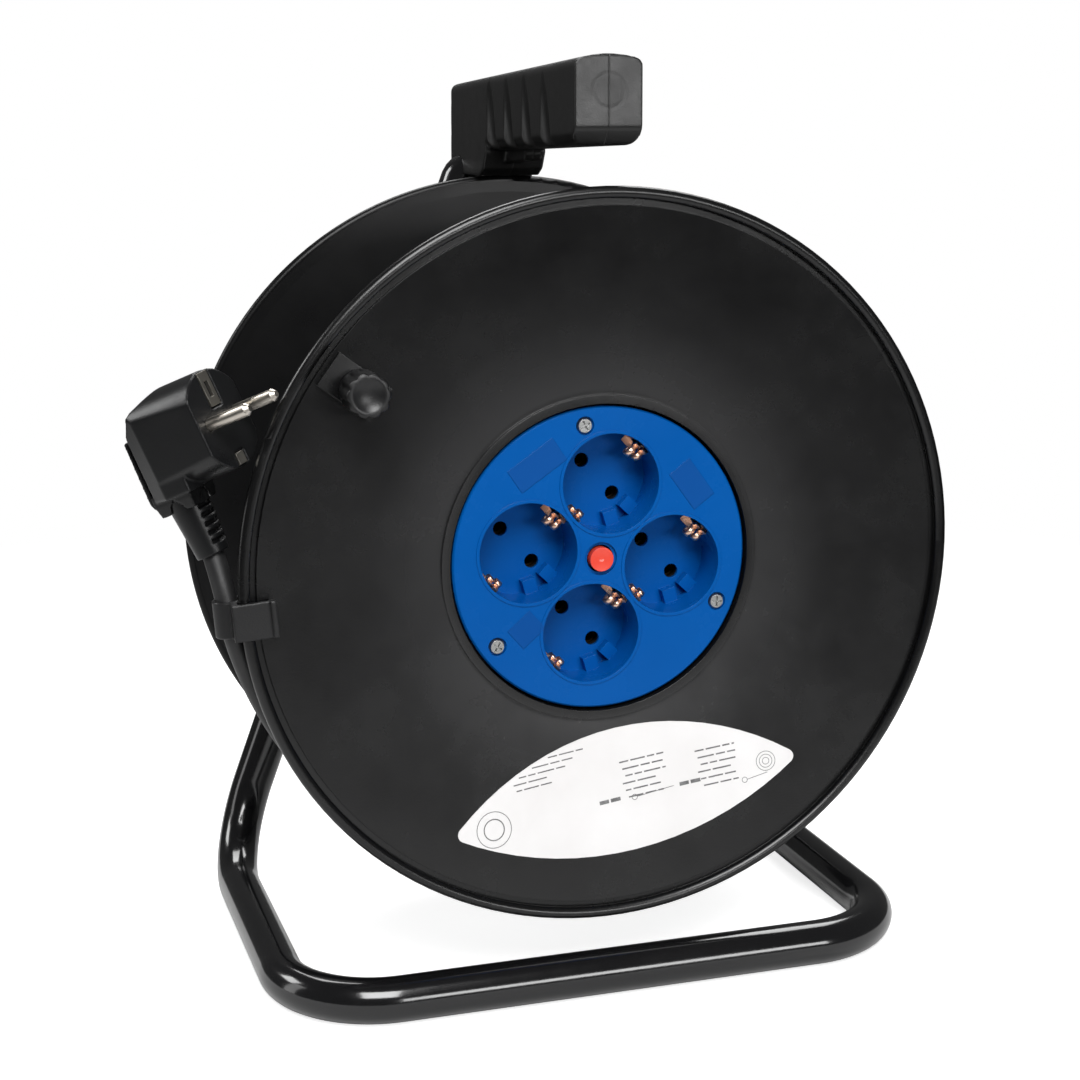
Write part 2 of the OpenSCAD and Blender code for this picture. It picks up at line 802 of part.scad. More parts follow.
// Pins on thinner roots that sit in the body
module plug_pins() {
    color("#d9d4c8") at_plug() for (s = [-1, 1]) translate([0, s * pin_pitch / 2, 0]) rotate([0, 90, 0]) {
        translate([0, 0, -pin_root]) cylinder(h = pin_root, r = root_r);
        cylinder(h = pin_len - 1.5, r = pin_r);
        translate([0, 0, pin_len - 1.5]) cylinder(h = 1.5, r1 = pin_r, r2 = pin_r / 2);
    }
}

// Slotted earth strip above the pins and a plain one below them
module plug_earth_contacts() {
    color("#b08d57") at_plug() {
        difference() {
            translate([-1.4, -3.1, 5.2]) cube([1.2, 6.2, 13]);
            translate([-2, -1.2, 8.6]) cube([3, 2.4, 6]);
        }
        translate([-1.4, -2.4, -18]) cube([1.2, 4.8, 4.4]);
    }
}

frame_tube();
axle_bracket();
drum_spindle();
spindle_washer();
spindle_nut();
thrust_washer();
handle_shell_left();
handle_shell_right();
handle_screws();
front_flange();
rear_flange();
drum_core();
core_screws();
hub_bush();
socket_cover();
socket_wells();
socket_base();
socket_back();
cover_screws();
line_contacts();
neutral_contacts();
earth_contacts();
thermal_cutout();
reset_button();
knob_pin();
winding_knob();
drum_label();
cable_clamp();
clamp_screws();
cable_tail();
cable_winding();
rim_clip();
cable_lead();
strain_relief();
plug_body();
plug_pins();
plug_earth_contacts();
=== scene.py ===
"""Looks of the open drum extension cord reel: procedural materials and detailed pieces on the CAD frame."""

import json
import math

import bmesh
import bpy
import numpy as np
from mathutils import Matrix, Vector


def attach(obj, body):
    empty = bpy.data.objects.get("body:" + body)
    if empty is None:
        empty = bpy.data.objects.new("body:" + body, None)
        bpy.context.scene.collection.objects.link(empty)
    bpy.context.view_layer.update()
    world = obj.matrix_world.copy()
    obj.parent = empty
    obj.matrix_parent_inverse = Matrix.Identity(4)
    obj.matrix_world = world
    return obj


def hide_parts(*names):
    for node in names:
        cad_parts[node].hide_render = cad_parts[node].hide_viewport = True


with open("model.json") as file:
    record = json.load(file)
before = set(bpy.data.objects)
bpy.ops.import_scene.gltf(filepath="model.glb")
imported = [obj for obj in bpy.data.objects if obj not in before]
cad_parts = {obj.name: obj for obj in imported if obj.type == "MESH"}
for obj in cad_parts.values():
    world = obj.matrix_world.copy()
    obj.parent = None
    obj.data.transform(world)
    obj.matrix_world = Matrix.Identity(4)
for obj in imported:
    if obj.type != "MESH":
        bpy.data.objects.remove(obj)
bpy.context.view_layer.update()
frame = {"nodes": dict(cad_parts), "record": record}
scene = bpy.context.scene

# ---- places, in metres ----
MM = 0.001
RIM_Y = -0.08325  # plane of the front rim
LEG_Y = RIM_Y + 0.170  # plane of the two rear legs
AXIS_H = 0.174  # height of the drum axis
CABLE_R = 0.0042
TAIL_R = CABLE_R - 0.0002  # the tail is drawn a little thinner, clear of its clamp
PLATE_R = 138.0  # mm, outer edge of the conical plate
PLATE_Z = -2.5  # mm, depth of the plate at that edge
SLOPE = 0.14384  # depth that the plate gains per millimetre towards its middle


def drum_point(x, up, z):
    """A point in drum millimetres (right, up, towards the viewer) as a point of the shared frame."""
    return Vector((x * MM, RIM_Y - z * MM, AXIS_H + up * MM))


def drum_polar(r, angle, z):
    a = math.radians(angle)
    return drum_point(r * math.cos(a), r * math.sin(a), z)


def plate_z(r):
    """Depth of the front flange's outer face at a radius, in drum millimetres."""
    return PLATE_Z - (PLATE_R - r) * SLOPE


# ---- camera ----
CAMERA_AT = Vector((-0.2582, -0.81105, 0.3469))
CAMERA_AZ, CAMERA_EL, CAMERA_ROLL = (math.radians(v) for v in (-17.476, 11.904, -0.303))
LENS_MM, SENSOR_MM = 68.05, 36.0


def make_camera():
    back = Vector((math.sin(CAMERA_AZ) * math.cos(CAMERA_EL),
                   -math.cos(CAMERA_AZ) * math.cos(CAMERA_EL), math.sin(CAMERA_EL)))
    right0 = Vector((math.cos(CAMERA_AZ), math.sin(CAMERA_AZ), 0))
    up0 = back.cross(right0)
    c, s = math.cos(CAMERA_ROLL), math.sin(CAMERA_ROLL)
    right, up = right0 * c + up0 * s, up0 * c - right0 * s
    data = bpy.data.cameras.new("camera")
    data.lens, data.sensor_width, data.clip_start = LENS_MM, SENSOR_MM, 0.02
    cam = bpy.data.objects.new("camera", data)
    cam.matrix_world = Matrix((
        (right.x, up.x, back.x, CAMERA_AT.x), (right.y, up.y, back.y, CAMERA_AT.y),
        (right.z, up.z, back.z, CAMERA_AT.z), (0, 0, 0, 1)))
    scene.collection.objects.link(cam)
    scene.camera = cam


make_camera()


# ---- materials ----
class Nodes:
    """A short way to build one procedural material."""

    def __init__(self, name):
        self.material = bpy.data.materials.new(name)
        self.material.use_nodes = True
        self.tree = self.material.node_tree
        self.tree.nodes.clear()
        self.shader = self.add("ShaderNodeBsdfPrincipled")
        out = self.add("ShaderNodeOutputMaterial")
        self.link(self.shader.outputs[0], out.inputs[0])
        self.place = self.add("ShaderNodeTexCoord").outputs["Object"]

    def add(self, kind, **props):
        node = self.tree.nodes.new(kind)
        for key, value in props.items():
            setattr(node, key, value)
        return node

    def link(self, a, b):
        self.tree.links.new(a, b)

    def noise(self, scale, detail=3.0, rough=0.55):
        node = self.add("ShaderNodeTexNoise")
        node.inputs["Scale"].default_value = scale
        node.inputs["Detail"].default_value = detail
        node.inputs["Roughness"].default_value = rough
        self.link(self.place, node.inputs["Vector"])
        return node.outputs[0]

    def ramp(self, value, stops):
        """Maps a value through (position, grey or colour) stops."""
        node = self.add("ShaderNodeValToRGB")
        while len(node.color_ramp.elements) < len(stops):
            node.color_ramp.elements.new(0.5)
        for element, (at, colour) in zip(node.color_ramp.elements, stops):
            element.position = at
            rgb = colour if hasattr(colour, "__len__") else (colour,) * 3
            element.color = (*rgb, 1)
        self.link(value, node.inputs[0])
        return node.outputs[0]

    def math(self, operation, a, b=None):
        node = self.add("ShaderNodeMath", operation=operation)
        for socket, value in zip(node.inputs, (a, b)):
            if value is None:
                continue
            if isinstance(value, (int, float)):
                socket.default_value = value
            else:
                self.link(value, socket)
        return node.outputs[0]

    def bump(self, height, distance, strength=1.0, rounded=0.0):
        node = self.add("ShaderNodeBump")
        node.inputs["Distance"].default_value = distance
        node.inputs["Strength"].default_value = strength
        self.link(height, node.inputs["Height"])
        if rounded:
            edge = self.add("ShaderNodeBevel", samples=4)
            edge.inputs["Radius"].default_value = rounded
            self.link(edge.outputs[0], node.inputs["Normal"])
        self.link(node.outputs[0], self.shader.inputs["Normal"])

    def set(self, **values):
        names = {"metallic": "Metallic", "coat": "Coat Weight", "coat_rough": "Coat Roughness",
                 "spec": "Specular IOR Level", "rough": "Roughness"}
        for key, value in values.items():
            self.shader.inputs[names[key]].default_value = value


def plastic(name, dark, light, rough, grain=900.0, bump=0.00004, rounded=0.0004, cloud=9.0, **extra):
    """Moulded plastic or paint: two close tones in soft clouds, uneven gloss and a fine surface grain."""
    n = Nodes(name)
    tone = n.ramp(n.noise(cloud, 4, 0.6), [(0.3, dark), (0.7, light)])
    gloss = n.ramp(n.noise(cloud * 4, 5, 0.65), [(0.3, rough[0]), (0.7, rough[1])])
    n.link(tone, n.shader.inputs["Base Color"])
    n.link(gloss, n.shader.inputs["Roughness"])
    n.bump(n.noise(grain, 3, 0.6), bump, 0.6, rounded)
    n.set(**extra)
    return n.material


def metal(name, dark, light, rough, scale):
    """Bare or plated metal: two close tones and a fine uneven gloss."""
    n = Nodes(name)
    uneven = n.noise(scale, 5, 0.7)
    n.link(n.ramp(n.noise(35, 4), [(0.3, dark), (0.7, light)]), n.shader.inputs["Base Color"])
    n.link(n.ramp(uneven, [(0.25, rough[0]), (0.75, rough[1])]), n.shader.inputs["Roughness"])
    n.bump(uneven, 0.00002, 0.5, 0.0002)
    n.set(metallic=1.0)
    return n.material


MATERIALS = {
    "tube_paint": plastic("gloss_black_paint", (0.004, 0.004, 0.0045), (0.006, 0.006, 0.0065), (0.12, 0.18),
                          grain=420, bump=0.00004, cloud=14, coat=0.5, coat_rough=0.08),
    "steel": metal("zinc_plated_steel", (0.36, 0.365, 0.37), (0.5, 0.5, 0.49), (0.28, 0.45), 240),
    "washer_plastic": plastic("natural_acetal", (0.7, 0.67, 0.58), (0.78, 0.76, 0.68), (0.4, 0.5)),
    "grip_plastic": plastic("grip_black", (0.006, 0.006, 0.0065), (0.009, 0.009, 0.0095), (0.33, 0.43),
                            grain=1500, bump=0.00008, rounded=0.0009),
    "drum_plastic": plastic("drum_black", (0.0055, 0.0057, 0.006), (0.008, 0.008, 0.0084), (0.22, 0.3),
                            grain=1100, bump=0.00003, cloud=7, rounded=0.0004),
    "insulator": plastic("insulator_black", (0.01, 0.01, 0.01), (0.016, 0.016, 0.0165), (0.5, 0.65)),
    "contact_brass": metal("contact_brass", (0.62, 0.33, 0.14), (0.82, 0.5, 0.26), (0.16, 0.34), 300),
    "button_red": plastic("button_red", (0.72, 0.055, 0.032), (0.8, 0.072, 0.042), (0.22, 0.3),
                          rounded=0.0003, coat=0.3, coat_rough=0.1),
    "cable_sheath": plastic("cable_sheath", (0.01, 0.01, 0.0105), (0.016, 0.016, 0.0165), (0.4, 0.52),
                            grain=700, bump=0.00012, cloud=30),
    "plug_plastic": plastic("plug_black", (0.005, 0.0052, 0.0055), (0.008, 0.0082, 0.0088), (0.25, 0.36),
                            grain=1300, bump=0.00007, rounded=0.0008, spec=0.3),
    "pin_nickel": metal("pin_nickel", (0.5, 0.46, 0.4), (0.62, 0.58, 0.52), (0.26, 0.4), 200),
}
# The rear flange: the same black moulding as the front, made darker and less glossy as painted shade
REAR_BLACK_PAINTED_SHADE = plastic("drum_black_rear_painted_shade", (0.004, 0.004, 0.0042), (0.006, 0.006, 0.0063), (0.26, 0.34),
                     grain=1100, bump=0.00003, cloud=7, rounded=0.0004, spec=0.2)
SHADED = metal("contact_in_shade", (0.02, 0.014, 0.009), (0.04, 0.028, 0.017), (0.5, 0.7), 300)
PLATED = metal("contact_plated", (0.34, 0.32, 0.28), (0.42, 0.4, 0.36), (0.36, 0.5), 90)
CLIP_COPPER = metal("clip_copper", (0.86, 0.52, 0.36), (1.0, 0.72, 0.56), (0.2, 0.42), 420)
# Blank panels of the socket cover: distance and angle from the drum axis, length and width, in millimetres
BLANK_PANELS = ((46.6, 124, 22, 10.5), (47, 36, 18, 10.5), (40.5, 220.5, 10, 12))
HANDLE_MARK_Z, HANDLE_MARK_R = 0.3535, 0.0062  # the round mark on the front of the handle
PAINTED_GLOW_SPAN = 0.15  # radius at which the painted glow of the front flange, and its darkening towards the rim, end


def in_drum(n, x, up, turn=0.0):
    """Object coordinates moved to a point of the drum face: x along turn, z across it, in metres."""
    shift = n.add("ShaderNodeMapping")
    shift.inputs["Location"].default_value = (-x * MM, 0, -AXIS_H - up * MM)
    n.link(n.place, shift.inputs["Vector"])
    rotate = n.add("ShaderNodeMapping")
    rotate.inputs["Rotation"].default_value = (0, turn, 0)
    n.link(shift.outputs[0], rotate.inputs["Vector"])
    split = n.add("ShaderNodeSeparateXYZ")
    n.link(rotate.outputs[0], split.inputs[0])
    return split.outputs["X"], split.outputs["Z"]


def cover_material():
    """Saturated blue moulding with three slightly darker, duller blank panels."""
    n = Nodes("cover_blue")
    mask = None
    for r, angle, long_side, short_side in BLANK_PANELS:
        a = math.radians(angle)
        x, z = in_drum(n, r * math.cos(a), r * math.sin(a), a)
        inside = n.math("MULTIPLY", n.math("LESS_THAN", n.math("ABSOLUTE", x), short_side / 2 * MM),
                        n.math("LESS_THAN", n.math("ABSOLUTE", z), long_side / 2 * MM))
        mask = inside if mask is None else n.math("MAXIMUM", mask, inside)
    plain = n.ramp(n.noise(9, 4, 0.6), [(0.3, (0.0003, 0.076, 0.315)), (0.7, (0.0005, 0.09, 0.36))])
    tint = n.add("ShaderNodeMix", data_type="RGBA", blend_type="MULTIPLY")
    n.link(mask, tint.inputs["Factor"])
    n.link(plain, tint.inputs["A"])
    tint.inputs["B"].default_value = (0.8, 0.8, 0.84, 1)
    n.link(tint.outputs["Result"], n.shader.inputs["Base Color"])
    rough = n.ramp(n.noise(36, 5, 0.65), [(0.3, 0.24), (0.7, 0.3)])
    n.link(n.math("ADD", rough, n.math("MULTIPLY", mask, 0.2)), n.shader.inputs["Roughness"])
    n.bump(n.noise(800, 3, 0.6), 0.00002, 0.6, 0.0004)
    n.set(spec=0.1)
    return n.material


def radius_about(n, height):
    """Distance from the line that runs from front to back over the origin at a height."""
    flat = n.add("ShaderNodeMapping")
    flat.inputs["Location"].default_value = (0, 0, -height)
    flat.inputs["Scale"].default_value = (1, 0, 1)
    n.link(n.place, flat.inputs["Vector"])
    length = n.add("ShaderNodeVectorMath", operation="LENGTH")
    n.link(flat.outputs[0], length.inputs[0])
    return length.outputs["Value"]


def handle_material():
    """Satin black grip with a faint parting line along its middle and a round mark on its front face."""
    n = Nodes("grip_black_handle")
    split = n.add("ShaderNodeSeparateXYZ")
    n.link(n.place, split.inputs[0])
    middle = n.math("ABSOLUTE", split.outputs["X"])
    line = n.ramp(n.math("DIVIDE", middle, 0.001), [(0.15, 0.0), (0.45, 1.0)])
    ring = n.math("ABSOLUTE", n.math("SUBTRACT", radius_about(n, HANDLE_MARK_Z), HANDLE_MARK_R))
    ring = n.ramp(n.math("DIVIDE", ring, 0.002), [(0.1, 0.6), (0.7, 1.0)])
    n.link(n.ramp(n.noise(9, 4, 0.6), [(0.3, 0.006), (0.7, 0.009)]), n.shader.inputs["Base Color"])
    n.link(n.ramp(n.noise(60, 5, 0.7), [(0.3, 0.3), (0.7, 0.42)]), n.shader.inputs["Roughness"])
    grain = n.math("MULTIPLY", n.noise(1500, 3, 0.6), 0.25)
    n.bump(n.math("ADD", n.math("ADD", n.math("MULTIPLY", line, 0.5), ring), grain), 0.00022, 0.7)
    return n.material


def front_flange_painted_glow_material():
    """Satin black moulding with a painted glow that makes it paler towards the collar round the sockets, and
    darker towards the rim.
    """
    n = Nodes("drum_black_front_painted_glow")
    # Painted glow: the colour is paler in a band just outside the collar and fades outwards to a darker rim
    painted_glow_radius = n.math("ADD", radius_about(n, AXIS_H), n.math("MULTIPLY", n.noise(11, 4, 0.6), 0.01))
    painted_glow_reach = n.math("DIVIDE", painted_glow_radius, PAINTED_GLOW_SPAN)
    n.link(n.ramp(painted_glow_reach, [(0.44, (0.005, 0.005, 0.0053)), (0.475, (0.022, 0.022, 0.0228)),
                          (0.66, (0.0065, 0.0065, 0.0068)), (0.85, (0.003, 0.003, 0.0032))]),
           n.shader.inputs["Base Color"])
    n.link(n.ramp(n.noise(28, 5, 0.65), [(0.3, 0.22), (0.7, 0.3)]), n.shader.inputs["Roughness"])
    n.bump(n.noise(1100, 3, 0.6), 0.00003, 0.6, 0.0004)
    return n.material


def label_material():
    """Coated white sticker, very slightly mottled."""
    n = Nodes("label_white")
    n.link(n.ramp(n.noise(25, 4), [(0.3, (0.72, 0.705, 0.7)), (0.7, (0.78, 0.77, 0.768))]),
           n.shader.inputs["Base Color"])
    n.link(n.ramp(n.noise(120, 3), [(0.3, 0.3), (0.7, 0.4)]), n.shader.inputs["Roughness"])
    n.bump(n.noise(300, 3), 0.00003, 0.4)
    return n.material


MATERIALS["label_white"] = label_material()
MATERIALS["cover_blue"] = cover_material()
SLOT_OF = {row["node"]: row["material_slot"] for row in frame["record"]["subparts"]}


def dress(obj, slot_name, material=None):
    obj.data.materials.clear()
    obj.data.materials.append(material or MATERIALS[slot_name])
    return obj


def shade(mesh, smooth=True):
    for polygon in mesh.polygons:
        polygon.use_smooth = smooth


# ---- cords ----
def curve_piece(name, points, body, slot_name, radius=CABLE_R, smooth=False):
    """A round cord along points: a plain polyline, or a smooth Bezier curve through them."""
    data = bpy.data.curves.new(name, "CURVE")
    data.dimensions, data.bevel_depth, data.bevel_resolution = "3D", radius, 4
    data.use_fill_caps = True
    data.resolution_u = 6
    spline = data.splines.new("BEZIER" if smooth else "POLY")
    if smooth:
        spline.bezier_points.add(len(points) - 1)
        for i, (bp, p) in enumerate(zip(spline.bezier_points, points)):
            before, after = points[max(i - 1, 0)], points[min(i + 1, len(points) - 1)]
            bp.co = p
            bp.handle_left_type = bp.handle_right_type = "FREE"
            bp.handle_left = p - (after - before) / 6
            bp.handle_right = p + (after - before) / 6
    else:
        spline.points.add(len(points) - 1)
        for sp, p in zip(spline.points, points):
            sp.co = (*p, 1)
            sp.radius = 1
    obj = bpy.data.objects.new(name, data)
    scene.collection.objects.link(obj)
    dress(obj, slot_name)
    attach(obj, body)
    return obj


# Middle lines of the lead and of the tail inside the core, in drum millimetres
LEAD_ROUTE = [
    (85, -37.5, -118.2), (76.6, -53.4, -118.2), (67.2, -68.4, -117.8), (55.8, -83.6, -114.9),
    (40.4, -95.4, -107), (21, -105, -94), (0, -112, -79), (-24, -116, -64), (-48, -115, -51),
    (-71, -108, -39), (-92, -96, -29), (-110, -82, -21), (-124, -66, -16), (-134, -49, -12.6),
    (-140.6, -34, -10.8), (-144.9, -21, -10), (-146.9, -11.3, -10), (-148.3, -3, -11.3),
    (-149.8, 5, -14), (-151.7, 13.5, -17.3)]
TAIL_ROUTE = [
    (0, -64, -121), (0, -57, -121), (0, -50, -121), (0, -39.3, -118.9), (0, -30.2, -112.8),
    (0.5, -24.6, -103.7), (2, -22, -93), (5, -21.6, -83), (9, -22.5, -74), (13.5, -24.5, -65),
    (17, -26, -57)]
# Winding: turns made so far, radius and depth of the cable's middle line, in millimetres. Each layer
# runs from one flange to the other, and the last turns bring the cable to where the lead starts.
LAYER_R = (69.2, 76.5, 83.8, 91.1)
WINDING_STEPS = [
    (0.0, 66.0, -121.0),
    (0.12, LAYER_R[0], -121.0), (11.85, LAYER_R[0], -20.6),
    (12.1, LAYER_R[1], -20.6), (24.5, LAYER_R[1], -125.4),
    (24.75, LAYER_R[2], -125.4), (37.15, LAYER_R[2], -20.6),
    (37.4, LAYER_R[3], -23.2), (47.2, LAYER_R[3], -106.0),
    (47.45, LAYER_R[3], -108.6), (47.816, 92.9, -118.2)]
WINDING_START = -90.0  # angle of the hole in the core
POINTS_PER_TURN = 30


def winding_points():
    turns, radii, depths = (np.array(c) for c in zip(*WINDING_STEPS))
    t = np.linspace(0, turns[-1], int(turns[-1] * POINTS_PER_TURN) + 1)
    r, z = np.interp(t, turns, radii), np.interp(t, turns, depths)
    kernel = np.ones(7) / 7  # eases the steps from one layer to the next
    r[3:-3] = np.convolve(r, kernel, "valid")
    z[3:-3] = np.convolve(z, kernel, "valid")
    return [drum_polar(radius, WINDING_START - 360 * turn, depth) for turn, radius, depth in zip(t, r, z)]


winding_line = winding_points()
winding = curve_piece("wound_cable", winding_line, "drum", "cable_sheath")
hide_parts("cable_winding")

lead_line = [drum_point(*p) for p in LEAD_ROUTE]
lead = curve_piece("plug_lead", lead_line, "cable_end", "cable_sheath", smooth=True)
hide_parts("cable_lead")

tail_line = [drum_point(*p) for p in TAIL_ROUTE]
tail = curve_piece("inner_tail", tail_line, "drum", "cable_sheath", TAIL_R, smooth=True)
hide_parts("cable_tail")

# ---- CAD nodes that stay, each with its own procedural material ----
for node_name, node in frame["nodes"].items():
    dress(node, SLOT_OF[node_name])
    shade(node.data)
# Front flange: the drum plastic with a painted glow round the collar
dress(frame["nodes"]["front_flange"], "drum_plastic", front_flange_painted_glow_material())
# Rear flange: a darker copy of the drum plastic, painted shade
dress(frame["nodes"]["rear_flange"], "drum_plastic", REAR_BLACK_PAINTED_SHADE)
dress(frame["nodes"]["earth_contacts"], "contact_brass", CLIP_COPPER)
dress(frame["nodes"]["plug_earth_contacts"], "contact_brass", PLATED)
for pole in ("line_contacts", "neutral_contacts"):
    dress(frame["nodes"][pole], "contact_brass", SHADED)

BODIES = frame["record"]["behaviour"]["bodies"]
BODY_OF = {node_name: body for body, names in BODIES.items() for node_name in names}


# ---- moulded pieces with softened edges, made from the CAD shapes ----
def soften(node_names, voxel, passes, material=None):
    """Stands in for CAD nodes: their shape as one piece, remeshed with voxels of so many millimetres
    and eased at its edges by so many passes of smoothing."""
    first = node_names[0]
    obj = bpy.data.objects.new(first + "_moulded", bpy.data.meshes.new(first + "_moulded"))
    work = bmesh.new()
    for node_name in node_names:
        work.from_mesh(frame["nodes"][node_name].data)
    work.to_mesh(obj.data)
    work.free()
    scene.collection.objects.link(obj)
    remesh = obj.modifiers.new("remesh", "REMESH")
    remesh.mode, remesh.voxel_size = "VOXEL", voxel * MM
    ease = obj.modifiers.new("ease", "SMOOTH")
    ease.factor, ease.iterations = 0.5, passes
    shape = bpy.data.meshes.new_from_object(obj.evaluated_get(bpy.context.evaluated_depsgraph_get()))
    obj.modifiers.clear()
    obj.data = shape
    shade(shape)
    dress(obj, SLOT_OF[first], material)
    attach(obj, BODY_OF[first])
    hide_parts(*node_names)
    return obj


soften(["handle_shell_left", "handle_shell_right"], 0.6, 3, handle_material())
plug = soften(["plug_body"], 0.45, 5)
sleeve = soften(["strain_relief"], 0.3, 3)
clip = soften(["rim_clip"], 0.3, 3)
soften(["winding_knob"], 0.3, 3)


# ---- frame tube: one smooth bent tube whose upper ends are pressed flat ----
TUBE_R, BEND_R = 0.009, 0.040
FOOT_X = 0.1285  # from the middle to the middle line of a side tube
FLAT_X, FLAT_Z = 0.003, (0.351, 0.345, 0.339, 0.333)  # the pressed end inside the handle
ROUND_TOP = Vector((0.0118, LEG_Y, 0.317))  # where the leg is round again
FLAT_WIDE, FLAT_THIN = 0.0099, 0.0024  # half the width and thickness of the pressed end
EASE_STEPS, BEND_STEPS = 8, 24


def tube_path():
    """Middle line of one half, from the flat end in the handle to the middle of the front tube, and how
    flat the tube is at each of its points."""
    front = RIM_Y - 0.0145 + TUBE_R
    foot, corner = Vector((FOOT_X, LEG_Y, TUBE_R)), Vector((FOOT_X, front, TUBE_R))
    line = [Vector((FLAT_X, LEG_Y - 0.002, z)) for z in FLAT_Z]
    flat = [1.0] * len(line)
    for k in range(1, EASE_STEPS + 1):
        line.append(line[len(FLAT_Z) - 1].lerp(ROUND_TOP, k / EASE_STEPS))
        flat.append(0.5 + 0.5 * math.cos(math.pi * k / EASE_STEPS))
    down, forward, inward = (foot - ROUND_TOP).normalized(), Vector((0, -1, 0)), Vector((-1, 0, 0))
    for start, corner_at, leaving in ((down, foot, forward), (forward, corner, inward)):
        centre = corner_at - BEND_R * start + BEND_R * leaving
        for k in range(BEND_STEPS + 1):
            a = math.pi / 2 * k / BEND_STEPS
            line.append(centre - BEND_R * math.cos(a) * leaving + BEND_R * math.sin(a) * start)
            flat.append(0.0)
    line.append(Vector((0, front, TUBE_R)))
    flat.append(0.0)
    return line, flat


def swept_skin(line, flat, radius, sides=40):
    """Vertices and faces of a closed tube, round where flat is 0 and a thin rounded bar where it is 1."""
    vertices, faces = [], []
    across = Vector((0, 1, 0))
    last = len(line) - 1
    for i, (p, f) in enumerate(zip(line, flat)):
        t = (line[min(i + 1, last)] - line[max(i - 1, 0)]).normalized()
        across = (across - across.dot(t) * t).normalized()
        thin = t.cross(across)
        wide_r, thin_r = radius + f * (FLAT_WIDE - radius), radius + f * (FLAT_THIN - radius)
        power = 1 - 0.45 * f  # below 1 the section fills out towards a bar with rounded corners
        for k in range(sides):
            c, d = math.cos(2 * math.pi * k / sides), math.sin(2 * math.pi * k / sides)
            vertices.append(p + across * wide_r * math.copysign(abs(c) ** power, c)
                            + thin * thin_r * math.copysign(abs(d) ** power, d))
    for i in range(last):
        for k in range(sides):
            m = (k + 1) % sides
            faces.append((i * sides + k, i * sides + m, (i + 1) * sides + m, (i + 1) * sides + k))
    faces.append(tuple(reversed(range(sides))))
    faces.append(tuple(range(last * sides, (last + 1) * sides)))
    return vertices, faces


def mesh_piece(name, vertices, faces, body, slot_name, material=None, smooth=True):
    """A piece from vertices and faces that rides on a body."""
    mesh = bpy.data.meshes.new(name)
    mesh.from_pydata([tuple(v) for v in vertices], [], faces)
    work = bmesh.new()
    work.from_mesh(mesh)
    bmesh.ops.recalc_face_normals(work, faces=work.faces)
    work.to_mesh(mesh)
    work.free()
    shade(mesh, smooth)
    obj = bpy.data.objects.new(name, mesh)
    scene.collection.objects.link(obj)
    dress(obj, slot_name, material)
    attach(obj, body)
    return obj


half_line, half_flat = tube_path()
other_half = [Vector((-p.x, p.y, p.z)) for p in reversed(half_line[:-1])]
tube_skin = swept_skin(half_line + other_half, half_flat + half_flat[-2::-1], TUBE_R)
tube = mesh_piece("bent_tube", *tube_skin, "frame", "tube_paint")
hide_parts("frame_tube")


# ---- sprung tongues of the earth clips, curled into the wells ----
WELL_R, EARTH_ANGLE = 30.0, 42.6
WELL_ANGLES = (82, 172, 262, 352)
# Radius from the well's middle and depth along one tongue, in millimetres
TONGUE = ((19.6, -24.0), (18.9, -20.5), (17.3, -18.2), (15.6, -17.7), (14.3, -18.6), (14.0, -20.2),
          (15.0, -21.6), (16.6, -22.0))
TONGUE_HALVES = ((-3.0, -0.5, 0.0), (0.5, 3.0, 0.9))  # left edge, right edge, extra curl of the tip
WALL_R = 18.5  # a tongue is proud of the well's wall inside this radius
TONGUE_CROWN = 0.25  # how far the middle of a tongue stands over its edges


def smooth_profile(points, steps=4):
    """Catmull-Rom points through a short profile."""
    out = []
    for i in range(len(points) - 1):
        a, b, c, d = (np.array(points[min(max(i + k, 0), len(points) - 1)], float) for k in (-1, 0, 1, 2))
        for k in range(steps):
            t = k / steps
            out.append(0.5 * (2 * b + (c - a) * t + (2 * a - 5 * b + 4 * c - d) * t * t
                              + (3 * b - a - 3 * c + d) * t ** 3))
    out.append(np.array(points[-1], float))
    return out


def earth_tongues():
    """Two split tongues in every well; the one on the far side stands out half as much."""
    vertices, faces = [], []
    profile = smooth_profile(TONGUE)
    for well in WELL_ANGLES:
        cx, cu = WELL_R * math.cos(math.radians(well)), WELL_R * math.sin(math.radians(well))
        for side in (0, 180):
            a = math.radians(EARTH_ANGLE + side)
            for left, right, curl in TONGUE_HALVES:
                base = len(vertices)
                for r, z in profile:
                    proud = max(0.0, WALL_R - r)
                    inward = r + (0.5 * proud if side else 0.0) - curl * proud / 4
                    for edge, lift in ((left, 0.0), ((left + right) / 2, TONGUE_CROWN), (right, 0.0)):
                        x = cx + inward * math.cos(a) - edge * math.sin(a)
                        up = cu + inward * math.sin(a) + edge * math.cos(a)
                        vertices.append(drum_point(x, up, z + lift))
                for i in range(len(profile) - 1):
                    for k in (0, 1):
                        q = base + 3 * i + k
                        faces.append((q, q + 1, q + 4, q + 3))
    return vertices, faces


tongues = mesh_piece("earth_tongues", *earth_tongues(), "drum", "contact_brass", CLIP_COPPER)
thick = tongues.modifiers.new("thick", "SOLIDIFY")
thick.thickness, thick.offset = 0.0005, 0


# ---- plain grey printing on the label: rows of dashes and ring marks, no lettering ----
LABEL_AT, LABEL_TURN = (9.6, -96.5), math.radians(7.6)
LABEL_ARC_R, LABEL_ARC_DROP = 116, 88.9  # the upper edge: an arc about a point this far below the middle
LABEL_MARGIN = 4
PRINT_LIFT = 0.34  # height of the printing over the flange, just clear of the sticker
# All in millimetres in the label's own plane. Rows of dashes: left, top, rows, width, pitch, stroke.
DASH_BLOCKS = ((-46, 22, 5, 31, 2.5, 0.5), (-1, 13, 6, 19, 2.9, 0.6), (31, 10.5, 6, 17, 2.9, 0.6))
DASHES = ((5, 8, 4, 7), (9, 5, 6), (4, 4, 9, 5), (7, 10), (3, 8, 6), (8, 6, 3))
DASH_UNIT, DASH_GAP, ROW_SHIFT = 0.78, 0.9, 0.8
